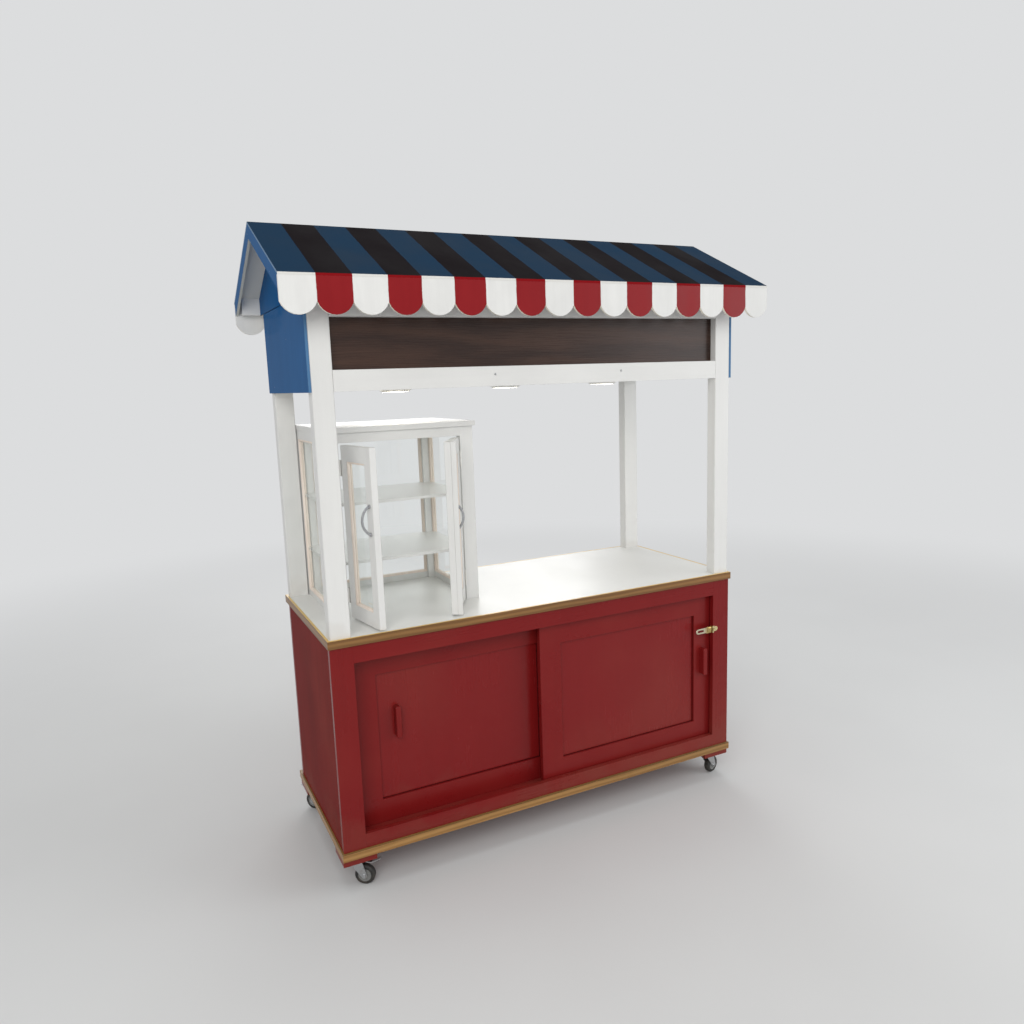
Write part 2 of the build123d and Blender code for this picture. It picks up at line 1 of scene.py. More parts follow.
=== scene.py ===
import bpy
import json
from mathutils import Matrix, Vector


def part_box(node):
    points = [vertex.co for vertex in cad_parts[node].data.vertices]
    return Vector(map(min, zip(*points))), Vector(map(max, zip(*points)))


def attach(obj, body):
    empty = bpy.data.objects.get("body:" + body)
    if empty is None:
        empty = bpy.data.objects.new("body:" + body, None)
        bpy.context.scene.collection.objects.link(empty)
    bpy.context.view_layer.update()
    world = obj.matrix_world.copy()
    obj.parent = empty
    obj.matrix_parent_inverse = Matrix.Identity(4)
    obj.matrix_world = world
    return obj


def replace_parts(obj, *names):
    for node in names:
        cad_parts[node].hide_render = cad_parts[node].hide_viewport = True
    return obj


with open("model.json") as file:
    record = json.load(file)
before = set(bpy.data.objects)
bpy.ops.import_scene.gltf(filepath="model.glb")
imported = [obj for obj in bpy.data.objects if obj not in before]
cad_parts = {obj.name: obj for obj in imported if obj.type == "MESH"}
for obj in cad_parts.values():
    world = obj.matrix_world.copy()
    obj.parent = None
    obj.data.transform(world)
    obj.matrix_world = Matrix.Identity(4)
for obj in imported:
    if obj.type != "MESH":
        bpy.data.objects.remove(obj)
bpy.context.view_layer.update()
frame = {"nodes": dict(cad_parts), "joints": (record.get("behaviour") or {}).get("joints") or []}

import json
import math
from collections import namedtuple

import bmesh
import bpy
from mathutils import Matrix, Vector

NODES = frame["nodes"]
UP, DOWN = Vector((0, 0, 1)), Vector((0, 0, -1))
CASTERS = ("front_left", "front_right", "back_left", "back_right")
HANDS = ("left", "right")

# Sizes shared with the solids, in metres
ROOF_HALF = 0.825
SCALLOPS = 17
SCALLOP_PITCH = 2 * ROOF_HALF / SCALLOPS
PANEL_TONGUE = 0.008
BOTTOM_BOARD_TOP = 0.140
HASP_KNUCKLE = 0.0035

# Heights between which dust comes in on the posts and on the cabinet, and a height between the edge strips
POST_DUST = (0.86, 0.80)
CABINET_DUST = (0.26, 0.12)
BETWEEN_STRIPS = (0.3, 0.5)

# Small detail: widths of beads, of the painted shade lines along the door panels' joints and of the gable's joint
# line, radii of screw heads and bolts
FIXED_BEAD = 0.0075
DOOR_BEAD = 0.0065
PANEL_SHADE_LINE = 0.0028
GABLE_JOINT_LINE = 0.0022
SMALL_SCREW = 0.0026
RAIL_SCREW = 0.0038
RAIL_SCREWS_AT = (-0.18, 0.28)
RAIL_SCREW_HEIGHT = 0.036
CASTER_BOLT = 0.0042
CASTER_BOLT_INSET = 0.009
SUPPORT_DEPTH = 0.0100
SUPPORT_INSET = 0.010

# The screws' cross recess, in head radii: half an arm's width and its reach
CROSS_ARM, CROSS_REACH = 0.13, 0.58

# The thin bargeboards and the gable boards' level joint
BARGE_DROP = 0.042
BARGE_THICKNESS = 0.009
BARGE_ARRIS = 0.001
GABLE_JOINT_HEIGHT = 1.782

# The hasp's strap. Half widths of nose and root, distances from the root and from the nose's tip
HASP_NOSE = 0.0097
HASP_ROOT = 0.012
HASP_THICKNESS = 0.0015
HASP_SHOULDER, HASP_NECK = 0.024, 0.031
HASP_SLOT = (0.0115, 0.0310)
HASP_SLOT_RADIUS = 0.0042
HASP_PAD = 0.0095
HASP_GAP = 0.0004
# How far back from the strap's end the brass turns paler: a painted reflection
HASP_PAINTED_SHINE = (0.026, 0.048)

# The hasp plate's screws, from the plate's end and its middle line, and its face behind the knuckles' front
HASP_SCREWS = ((0.0055, 0.0042), (0.0055, -0.0042), (0.0145, 0.0))
HASP_PLATE_FACE = 0.0055

# Turned profiles as (radius, height), and a spoke's outline
HUB_PROFILE = [(0.0045, 0.0070), (0.0045, 0.0112), (0.0086, 0.0112), (0.0092, 0.0106), (0.0100, 0.0084),
               (0.0180, 0.0084), (0.0205, 0.0092), (0.0212, 0.0107), (0.0219, 0.0110), (0.0221, 0.0070)]
HUB_SPOKES = 5
SPOKE_OUTLINE = [(0.0095, -0.0011), (0.0195, -0.0011), (0.0195, 0.0011), (0.0095, 0.0011)]
DIFFUSER_PROFILE = [(0.0, 0.0008), (0.030, 0.0007), (0.0415, 0.0003), (0.0425, -0.001), (0.0, -0.001)]

# The camera that matches the photograph
FRAME_PIXELS = 1024
FOCAL_PIXELS = 791.9
SENSOR_WIDTH = 36.0
CAMERA_PLACE = (-1.2325, -2.5127, 1.5298)
CAMERA_YAW, CAMERA_PITCH, CAMERA_ROLL = 26.306, -9.300, -1.972

# Name, place, height aimed at, size, power and colour
LAMPS = (
    ("key", (-2.4, -3.6, 3.0), 0.9, (2.6, 2.6), 84.0, (1.0, 0.985, 0.96)),
    ("fill", (3.4, -2.6, 2.0), 0.9, (2.6, 2.6), 50.0, (0.97, 0.985, 1.0)),
    ("back", (1.2, 4.0, 2.6), 1.0, (3.0, 2.2), 64.0, (1.0, 1.0, 1.0)),
    ("top", (0.0, -0.4, 4.4), 1.6, (3.0, 2.0), 30.0, (1.0, 1.0, 1.0)),
)
FLOOR_HALF = 60.0
WORLD_STRENGTH = 0.56

# Noise stretched along one axis, as brush strokes are
ALONG_X = (0.06, 1, 1)
ALONG_Y = (1, 0.06, 1)
ALONG_Z = (1, 1, 0.06)


def rgb(red, green, blue):
    """A colour given as it looks on a screen, 0 to 255, in a shader's linear values."""
    linear = []
    for value in (red, green, blue):
        c = value / 255
        linear.append(c / 12.92 if c <= 0.04045 else ((c + 0.055) / 1.055) ** 2.4)
    return (*linear, 1.0)


RED = rgb(121, 22, 23)
WORN_RED = rgb(84, 22, 20)
CLEAR = rgb(252, 254, 253)
BACKDROP = rgb(220, 221, 222)


# ---------------------------------------------------------------- materials

class Graph:
    """One material's nodes, built from short calls. Inputs are numbers, colours or sockets."""

    def __init__(self, name):
        self.material = bpy.data.materials.new(name)
        self.material.use_nodes = True
        self.nodes = self.material.node_tree.nodes
        self.links = self.material.node_tree.links
        self.nodes.clear()
        coordinates = self.node("ShaderNodeTexCoord")
        self.place = coordinates.outputs["Object"]
        self.facing = coordinates.outputs["Normal"]
        self.x, self.y, self.z = self.split(self.place)
        self.nx, self.ny, self.nz = self.split(self.facing)

    def put(self, socket, value):
        """Sets a plain value on the socket itself and links anything else."""
        if isinstance(value, bpy.types.NodeSocket):
            self.links.new(value, socket)
        else:
            socket.default_value = value

    def node(self, kind, inputs=(), **settings):
        made = self.nodes.new(kind)
        for key, value in settings.items():
            setattr(made, key, value)
        for key, value in dict(inputs).items():
            self.put(made.inputs[key], value)
        return made

    def split(self, vector):
        return self.node("ShaderNodeSeparateXYZ", {0: vector}).outputs

    def join(self, x, y, z):
        return self.node("ShaderNodeCombineXYZ", {0: x, 1: y, 2: z}).outputs[0]

    def math(self, operation, *values):
        made = self.node("ShaderNodeMath", operation=operation)
        for socket, value in zip(made.inputs, values):
            self.put(socket, value)
        return made.outputs[0]

    def times(self, first, second):
        return self.math("MULTIPLY", first, second)

    def plus(self, first, second):
        return self.math("ADD", first, second)

    def mix(self, factor, first, second, blend="MIX"):
        made = self.node("ShaderNodeMix", data_type="RGBA", blend_type=blend)
        for index, value in ((0, factor), (6, first), (7, second)):
            self.put(made.inputs[index], value)
        return made.outputs[2]

    def step(self, value, low, high, start=0.0, end=1.0):
        """A smooth step from start, at low, to end, at high."""
        return self.node("ShaderNodeMapRange", {0: value, 1: low, 2: high, 3: start, 4: end},
                         interpolation_type="SMOOTHSTEP").outputs[0]

    def noise(self, scale, stretch=(1, 1, 1), detail=3.0, roughness=0.5, vector=None):
        mapped = self.node("ShaderNodeMapping", {"Vector": vector or self.place, "Scale": stretch}).outputs[0]
        return self.node("ShaderNodeTexNoise", {"Vector": mapped, "Scale": scale, "Detail": detail,
                                               "Roughness": roughness}).outputs[0]

    def tint(self, colour, value, low, high):
        """The colour made darker or lighter by a value from 0 to 1."""
        factor = self.step(value, 0.3, 0.7, low, high)
        grey = self.join(factor, factor, factor)
        return self.mix(1.0, colour, grey, "MULTIPLY")

    def rounded(self, radius):
        """Normals as if the edges were rounded."""
        return self.node("ShaderNodeBevel", {"Radius": radius}, samples=4).outputs[0]

    def edges(self, radius):
        """1 along sharp edges, 0 on flat faces."""
        true_normal = self.node("ShaderNodeNewGeometry").outputs["True Normal"]
        dot = self.node("ShaderNodeVectorMath", {0: self.rounded(radius), 1: true_normal},
                        operation="DOT_PRODUCT").outputs["Value"]
        return self.step(dot, 0.99, 0.86)

    def cloud(self):
        return self.noise(3.1, detail=4, roughness=0.6)

    def strokes(self, stretch):
        return self.noise(26.0, stretch, detail=4, roughness=0.65)

    def rubbed(self):
        """1 where sharp edges are rubbed bare."""
        return self.times(self.edges(0.0016), self.step(self.noise(31.0, detail=5), 0.56, 0.72))

    def surface(self, shader):
        """Links the shader to the output and gives the finished material."""
        output = self.node("ShaderNodeOutputMaterial")
        self.links.new(shader.outputs[0], output.inputs["Surface"])
        return self.material

    def finish(self, colour, roughness, height=None, depth=0.0002, radius=0.0012, **sockets):
        """Ends the graph in the surface shader."""
        shader = self.node("ShaderNodeBsdfPrincipled")
        self.put(shader.inputs["Base Color"], colour)
        self.put(shader.inputs["Roughness"], roughness)
        for key, value in sockets.items():
            self.put(shader.inputs[key.replace("_", " ")], value)
        normal = self.rounded(radius) if radius else None
        if height is not None:
            bump = self.node("ShaderNodeBump", {"Strength": 1.0, "Distance": depth, "Height": height})
            if normal is not None:
                self.put(bump.inputs["Normal"], normal)
            normal = bump.outputs[0]
        if normal is not None:
            self.put(shader.inputs["Normal"], normal)
        return self.surface(shader)


def painted(graph, colour, gloss, stretch, worn=rgb(176, 150, 118), wear=0.5, streaks=0.5, shine=0.3,
            coat=0.0, coat_roughness=0.16):
    """Brushed paint on wood: paint of varying depth, strokes along the grain and rubbed edges."""
    cloud = graph.cloud()
    strokes = graph.strokes(stretch)
    fine = graph.noise(240.0, detail=2)
    colour = graph.tint(colour, cloud, 1.0 - 0.10 * streaks, 1.0 + 0.06 * streaks)
    colour = graph.tint(colour, strokes, 1.0 - 0.07 * streaks, 1.0 + 0.05 * streaks)
    colour = graph.mix(graph.times(graph.rubbed(), wear), colour, worn)
    roughness = graph.plus(graph.step(cloud, 0.35, 0.7, gloss - 0.05, gloss + 0.06),
                           graph.step(strokes, 0.3, 0.7, -0.04, 0.05))
    height = graph.plus(graph.times(strokes, 0.8), graph.times(fine, 0.35))
    return graph.finish(colour, roughness, height, 0.00006, Specular_IOR_Level=shine, Coat_Weight=coat,
                        Coat_Roughness=coat_roughness)


def white_paint(name, stretch):
    """White brushed paint, dusty where it comes down to the worktop."""
    graph = Graph(name)
    dust = graph.step(graph.plus(graph.z, graph.step(graph.noise(9.0), 0.3, 0.7, -0.05, 0.05)), *POST_DUST)
    colour = graph.mix(graph.times(dust, 0.10), rgb(224, 224, 222), rgb(150, 128, 96))
    return painted(graph, colour, 0.40, stretch, rgb(190, 176, 150), 0.4, 0.3, 0.35)


def red_paint(name, stretch, colour=RED, gloss=0.30, streaks=0.45, shine=0.22, coat=0.0):
    """Red paint with lighter, browner patches that are partly patchy paint and partly painted sheen, dusty towards
    the floor.
    """
    graph = Graph(name)
    # Lighter, browner patches at random: partly patchy paint, partly painted sheen
    uneven_and_sheen = graph.step(graph.noise(1.9, detail=2, roughness=0.4), 0.40, 0.68, 0.0, 0.32)
    colour = graph.mix(uneven_and_sheen, colour, rgb(134, 56, 46))
    low = graph.plus(graph.z, graph.step(graph.noise(7.0, detail=5), 0.3, 0.7, -0.07, 0.07))
    dust = graph.times(graph.step(low, *CABINET_DUST), 0.20)
    colour = graph.mix(dust, colour, rgb(124, 76, 62))
    return painted(graph, colour, gloss, stretch, WORN_RED, 0.55, streaks, shine, coat)


def red_door_frame(name, panel):
    """The same paint, brushed upright on the stiles and level on the rails."""
    low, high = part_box(panel)
    graph = Graph(name)
    between = graph.times(graph.math("GREATER_THAN", graph.x, low.x + PANEL_TONGUE),
                          graph.math("LESS_THAN", graph.x, high.x - PANEL_TONGUE))
    above = graph.math("GREATER_THAN", graph.z, high.z - PANEL_TONGUE)
    below = graph.math("LESS_THAN", graph.z, low.z + PANEL_TONGUE)
    rail = graph.times(between, graph.math("MAXIMUM", above, below))
    strokes = graph.plus(graph.times(graph.strokes(ALONG_X), rail),
                         graph.times(graph.strokes(ALONG_Z), graph.math("SUBTRACT", 1.0, rail)))
    cloud = graph.cloud()
    # Lighter, browner cloudy patches: partly patchy paint, partly painted sheen
    colour = graph.mix(graph.step(cloud, 0.35, 0.75, 0.0, 0.25), RED, rgb(134, 50, 42))
    colour = graph.tint(colour, strokes, 0.97, 1.02)
    colour = graph.mix(graph.times(graph.rubbed(), 0.55), colour, WORN_RED)
    roughness = graph.step(cloud, 0.35, 0.7, 0.26, 0.36)
    return graph.finish(colour, roughness, strokes, 0.00005, Specular_IOR_Level=0.22)


def blue_paint():
    """Blue with front edges lightened as a painted highlight, lower edges pale as bare edges and painted lamplight,
    and specks of spatter.
    """
    graph = Graph("blue_paint")
    # Down-facing edges pale: bare edges, lightened further as painted lamplight from below
    under = graph.step(graph.nz, -0.6, -0.8)
    colour = graph.mix(under, rgb(36, 92, 146), rgb(196, 196, 190))
    # Front and back edges paler: a painted highlight
    front = graph.step(graph.math("ABSOLUTE", graph.ny), 0.7, 0.9)
    colour = graph.mix(front, colour, rgb(84, 124, 164))
    specks = graph.node("ShaderNodeTexVoronoi", {"Vector": graph.place, "Scale": 70.0}).outputs["Distance"]
    spatter = graph.times(graph.step(specks, 0.12, 0.07), graph.step(graph.noise(14.0), 0.60, 0.66))
    colour = graph.mix(spatter, colour, rgb(176, 192, 208))
    return painted(graph, colour, 0.22, (1, 1, 0.12), rgb(150, 160, 170), 0.5, 0.6, 0.0, 0.12, coat_roughness=0.08)


def stripe(graph, wobble):
    """1 over every second stripe, whose edge wanders a little as a brushed edge does."""
    wander = graph.step(graph.noise(38.0, detail=2), 0.2, 0.8, -wobble, wobble)
    along = graph.math("DIVIDE", graph.plus(graph.plus(graph.x, wander), ROOF_HALF), SCALLOP_PITCH)
    along = graph.math("MINIMUM", graph.math("MAXIMUM", along, 0.2), SCALLOPS - 0.2)
    phase = graph.math("PINGPONG", graph.math("SUBTRACT", along, 0.5), 1.0)
    return graph.step(phase, 0.492, 0.508)


def roof_paint():
    """White and red stripes above, painted dark blue and near-black as painted shade and blue light on the roof's
    top; white below, and the stripes' own white and red on the eaves' edges.
    """
    graph = Graph("roof_paint")
    top = graph.step(graph.nz, 0.3, 0.6)
    # The white and red stripes, painted as they look in shade under a blue light
    shaded_white_stripe, shaded_red_stripe = rgb(18, 44, 66), rgb(13, 7, 10)
    second = stripe(graph, 0.0009)
    colour = graph.mix(second, shaded_white_stripe, shaded_red_stripe)
    sky = graph.noise(5.0, (1, 0.5, 1), detail=5)
    colour = graph.tint(colour, sky, 0.90, 1.12)
    colour = graph.mix(top, rgb(214, 214, 210), colour)
    eave = graph.step(graph.math("ABSOLUTE", graph.ny), 0.62, 0.78)
    colour = graph.mix(eave, colour, graph.mix(second, rgb(218, 217, 213), rgb(132, 20, 25)))
    gable = graph.step(graph.math("ABSOLUTE", graph.nx), 0.5, 0.8)
    colour = graph.mix(gable, colour, rgb(118, 144, 172))
    strokes = graph.noise(30.0, (1, 0.08, 0.08), detail=4, roughness=0.6)
    fine = graph.noise(260.0, detail=2)
    height = graph.plus(strokes, graph.times(fine, 0.4))
    roughness = graph.step(sky, 0.3, 0.7, 0.50, 0.64)
    return graph.finish(colour, roughness, height, 0.00014, Specular_IOR_Level=0.02)


def valance_paint():
    """Red and white scallops in turn, with pale cut edges lightened further as a painted highlight."""
    graph = Graph("valance_paint")
    colour = graph.mix(stripe(graph, 0.0006), rgb(222, 222, 220), rgb(134, 18, 24))
    # Down-facing cut edges near white: their pale edge colour, brightened as a painted highlight of lamplight
    edge = graph.step(graph.nz, -0.25, -0.45)
    colour = graph.mix(edge, colour, rgb(248, 243, 230))
    return painted(graph, colour, 0.36, (1, 1, 0.1), rgb(190, 165, 130), 0.3, 0.5, 0.2)


def grain(graph, vector, rings, strength):
    """Wood grain: long wavering lines across the vector's second axis."""
    warp = graph.noise(2.2, (1, 6, 1), detail=3, vector=vector)
    fibre = graph.noise(28.0, (0.35, 26, 1), detail=5, roughness=0.62, vector=vector)
    across = graph.plus(graph.times(graph.split(vector)[1], rings), graph.times(warp, strength))
    lines = graph.math("PINGPONG", across, 1.0)
    return graph.plus(graph.times(lines, 0.45), graph.times(fibre, 0.55)), fibre


def varnished_trim():
    """Varnished strips with a painted highlight on their up-facing faces and a dark seam along the bottom board."""
    graph = Graph("varnished_trim")
    along = graph.plus(graph.x, graph.y)
    vector = graph.join(along, graph.z, 0.0)
    pattern, fibre = grain(graph, vector, 120.0, 3.0)
    upper = graph.mix(graph.step(pattern, 0.25, 0.75), rgb(112, 78, 42), rgb(142, 104, 60))
    lower = graph.mix(graph.step(pattern, 0.25, 0.75), rgb(140, 102, 56), rgb(168, 127, 76))
    colour = graph.mix(graph.step(graph.z, *BETWEEN_STRIPS), lower, upper)
    # Up-facing faces bright gold: a painted highlight
    painted_top_highlight = graph.step(graph.nz, 0.5, 0.8)
    colour = graph.mix(graph.times(painted_top_highlight, 0.85), colour, rgb(226, 190, 108))
    seam = graph.step(graph.z, BOTTOM_BOARD_TOP - 0.0026, BOTTOM_BOARD_TOP - 0.0012)
    seam = graph.times(seam, graph.step(graph.z, *reversed(BETWEEN_STRIPS)))
    colour = graph.mix(graph.times(seam, 0.75), colour, rgb(70, 40, 22))
    patches = graph.noise(1.3, detail=2, vector=vector)
    colour = graph.tint(colour, patches, 0.88, 1.10)
    return graph.finish(colour, graph.step(fibre, 0.3, 0.7, 0.28, 0.42), fibre, 0.00008, Specular_IOR_Level=0.35)


def brown_board():
    """Dark stained wood with a few knots and cracks."""
    graph = Graph("brown_board")
    vector = graph.join(graph.x, graph.z, graph.y)
    pattern, fibre = grain(graph, vector, 22.0, 4.0)
    flattened = graph.join(graph.x, graph.times(graph.z, 2.4), 0.0)
    knots = graph.node("ShaderNodeTexVoronoi", {"Vector": flattened, "Scale": 2.6}).outputs["Distance"]
    colour = graph.mix(graph.step(pattern, 0.2, 0.85), rgb(46, 31, 26), rgb(66, 46, 37))
    colour = graph.mix(graph.times(graph.step(knots, 0.085, 0.03), 0.7), colour, rgb(28, 18, 15))
    cracks = graph.noise(9.0, (0.8, 30, 1), detail=6, roughness=0.7, vector=vector)
    colour = graph.mix(graph.times(graph.step(cracks, 0.68, 0.74), 0.6), colour, rgb(26, 17, 14))
    colour = graph.tint(colour, graph.noise(2.0, detail=3), 0.85, 1.15)
    return graph.finish(colour, graph.step(fibre, 0.3, 0.7, 0.24, 0.36), fibre, 0.00006, Specular_IOR_Level=0.3)


def bare_pine():
    graph = Graph("bead_pine")
    vector = graph.join(graph.plus(graph.x, graph.y), graph.z, 0.0)
    fibre = graph.noise(60.0, (1, 1, 0.1), detail=5)
    colour = graph.mix(graph.step(fibre, 0.3, 0.7), rgb(236, 220, 207), rgb(244, 232, 221))
    colour = graph.tint(colour, graph.noise(6.0, vector=vector), 0.95, 1.04)
    return graph.finish(colour, graph.step(fibre, 0.3, 0.7, 0.5, 0.62), fibre, 0.00008, radius=0.0006,
                        Specular_IOR_Level=0.3)


def worktop_laminate():
    graph = Graph("worktop_laminate")
    speck = graph.noise(420.0, detail=2)
    cloud = graph.noise(4.0, detail=4)
    colour = graph.tint(rgb(224, 224, 221), cloud, 0.97, 1.015)
    colour = graph.mix(graph.step(speck, 0.62, 0.8, 0.0, 0.12), colour, rgb(190, 188, 180))
    smears = graph.noise(5.0, (1, 0.4, 1), detail=4, roughness=0.6)
    roughness = graph.step(smears, 0.3, 0.7, 0.30, 0.37)
    return graph.finish(colour, roughness, graph.noise(300.0, detail=1), 0.00002, Specular_IOR_Level=0.2)


def plastic(name, colour, roughness):
    graph = Graph(name)
    fine = graph.noise(300.0, detail=2)
    cloud = graph.noise(11.0, detail=3)
    rough = graph.step(cloud, 0.3, 0.7, roughness - 0.05, roughness + 0.05)
    return graph.finish(graph.tint(colour, cloud, 0.96, 1.02), rough, fine, 0.00004)


def lamp_diffuser():
    graph = Graph("lamp_diffuser")
    fine = graph.noise(500.0, detail=1)
    colour = graph.tint(rgb(240, 238, 230), graph.noise(30.0), 0.97, 1.02)
    return graph.finish(colour, graph.step(fine, 0.3, 0.7, 0.35, 0.5), fine, 0.00003, radius=0.0,
                        Emission_Color=(1.0, 0.93, 0.80, 1.0), Emission_Strength=10.0)


def metal(name, colour, roughness, tarnish, amount, scale=60.0, metallic=1.0):
    graph = Graph(name)
    cloud = graph.noise(scale, detail=5, roughness=0.65)
    scratches = graph.noise(500.0, (1, 1, 0.06), detail=3)
    colour = graph.mix(graph.times(graph.step(cloud, 0.5, 0.75), amount), colour, tarnish)
    rough = graph.plus(graph.step(cloud, 0.3, 0.7, roughness - 0.05, roughness + 0.1),
                       graph.step(scratches, 0.4, 0.7, 0.0, 0.06))
    return graph.finish(colour, rough, scratches, 0.00003, 0.0005, Metallic=metallic)


def rubber():
    graph = Graph("caster_rubber")
    dust = graph.step(graph.noise(45.0, detail=5, roughness=0.7), 0.42, 0.7)
    colour = graph.mix(graph.times(dust, 0.4), rgb(30, 29, 29), rgb(104, 96, 84))
    return graph.finish(colour, graph.step(dust, 0.0, 1.0, 0.55, 0.8), graph.noise(220.0, detail=3), 0.0001)


def glass():
    """Clear panes with a few smudges. Lamplight passes through them."""
    graph = Graph("glass")
    smudge = graph.noise(9.0, detail=5, roughness=0.7)
    roughness = graph.step(smudge, 0.55, 0.85, 0.0, 0.05)
    pane_shader = graph.node("ShaderNodeBsdfPrincipled", {"Base Color": CLEAR, "Roughness": roughness,
                                                         "Transmission Weight": 1.0, "IOR": 1.45})
    clear = graph.node("ShaderNodeBsdfTransparent", {"Color": CLEAR})
    path = graph.node("ShaderNodeLightPath")
    passing = graph.math("MAXIMUM", path.outputs["Is Shadow Ray"], path.outputs["Is Diffuse Ray"])
    return graph.surface(graph.node("ShaderNodeMixShader", {0: passing, 1: pane_shader.outputs[0],
                                                            2: clear.outputs[0]}))


def hasp_metal():
    """Plated brass, golden by the knuckle and paler towards the slotted end, the paler colour a painted reflection.
    """
    graph = Graph("hasp_metal")
    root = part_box("hasp_leaf")[1].x
    # Paler towards the slotted end: a painted reflection
    worn = graph.step(graph.x, root - HASP_PAINTED_SHINE[0], root - HASP_PAINTED_SHINE[1])
    cloud = graph.noise(150.0, detail=5, roughness=0.65)
    scratches = graph.noise(420.0, (0.08, 1, 1), detail=3)
    colour = graph.mix(worn, rgb(182, 158, 104), rgb(206, 198, 174))
    colour = graph.mix(graph.step(cloud, 0.5, 0.75, 0.0, 0.5), colour, rgb(132, 98, 56))
    rough = graph.plus(graph.step(cloud, 0.3, 0.7, 0.16, 0.28), graph.step(scratches, 0.4, 0.7, 0.0, 0.06))
    return graph.finish(colour, rough, scratches, 0.00003, 0.0005, Metallic=1.0)


def dark_line(name, first, second):
    """The dull shadow colour of an open joint."""
    graph = Graph(name)
    colour = graph.mix(graph.step(graph.noise(40.0, detail=4), 0.3, 0.7), first, second)
    return graph.finish(colour, graph.step(graph.noise(90.0), 0.3, 0.7, 0.6, 0.8), radius=0.0,
                        Specular_IOR_Level=0.05)


MATERIALS = {
    "white_upright": white_paint("white_upright", ALONG_Z),
    "white_rail": white_paint("white_rail", ALONG_X),
    "white_board": white_paint("white_board", ALONG_Y),
    "red_upright": red_paint("red_upright", ALONG_Z),
    "red_rail": red_paint("red_rail", ALONG_X),
    "red_panel": red_paint("red_panel", ALONG_Z, rgb(124, 23, 24), 0.24, 0.30, 0.26),
    "red_left_door": red_door_frame("red_left_door", "left_sliding_door_panel"),
    "red_right_door": red_door_frame("red_right_door", "right_sliding_door_panel"),
    "red_side": red_paint("red_side", ALONG_Z, rgb(116, 26, 22), 0.22, 1.0, 0.0, 0.12),
    "blue": blue_paint(),
    "roof": roof_paint(),
    "valance": valance_paint(),
    "trim": varnished_trim(),
    "brown": brown_board(),
    "pine": bare_pine(),
    "laminate": worktop_laminate(),
    "ceiling": plastic("ceiling_white", rgb(232, 231, 227), 0.45),
    "lamp_body": plastic("lamp_body", rgb(236, 235, 230), 0.35),
    "diffuser": lamp_diffuser(),
    "chrome": metal("chrome", rgb(184, 185, 188), 0.11, rgb(128, 122, 116), 0.3),
    "nickel": metal("nickel", rgb(226, 225, 221), 0.40, rgb(186, 180, 170), 0.4, 80.0, 0.5),
    "brass": metal("brass", rgb(218, 203, 156), 0.22, rgb(150, 112, 62), 0.75, 110.0),
    "zinc": metal("zinc", rgb(180, 181, 182), 0.34, rgb(122, 104, 88), 0.5, 70.0),
    "hub": plastic("hub_plastic", rgb(126, 126, 124), 0.5),
    "rubber": rubber(),
    "glass": glass(),
    "hasp": hasp_metal(),
    "joint": dark_line("joint_shadow", rgb(52, 4, 6), rgb(70, 8, 10)),
    "blue_joint": dark_line("blue_joint_shadow", rgb(16, 36, 62), rgb(26, 52, 84)),
}

NODE_MATERIALS = {
    "white_upright": ("posts", "showcase_stiles", "left_case_door_frame", "right_case_door_frame",
                      "right_case_door_closing_strip"),
    "white_rail": ("header_rails", "roof_timbers", "showcase_rails", "showcase_top"),
    "white_board": ("showcase_shelves",),
    "red_upright": ("face_frame_stiles", "left_sliding_door_pull", "right_sliding_door_pull"),
    "red_left_door": ("left_sliding_door_frame",),
    "red_right_door": ("right_sliding_door_frame",),
    "red_side": ("cabinet_sides",),
    "red_rail": ("face_frame_rails", "cabinet_back", "door_tracks", "caster_blocks", "bottom_board"),
    "red_panel": ("left_sliding_door_panel", "right_sliding_door_panel"),
    "blue": ("side_panels",),
    "roof": ("front_roof_sheet", "back_roof_sheet"),
    "valance": ("valances",),
    "trim": ("edge_strips",),
    "brown": ("sign_boards",),
    "laminate": ("worktop",),
    "ceiling": ("ceiling_board",),
    "lamp_body": ("ceiling_lamps",),
    "chrome": ("left_case_door_handle", "right_case_door_handle"),
    "nickel": ("showcase_hinges", "left_case_door_hinges", "right_case_door_hinges"),
    "zinc": ("caster_plates", *(name + "_caster_fork" for name in CASTERS)),
    "brass": ("hasp_plate",),
    "rubber": tuple(name + "_caster_wheel" for name in CASTERS),
    "glass": ("showcase_glass", "left_case_door_glass", "right_case_door_glass"),
}
for key, names in NODE_MATERIALS.items():
    for name in names:
        for holder in NODES[name].material_slots:
            holder.material = MATERIALS[key]


# ---------------------------------------------------------------- shapes

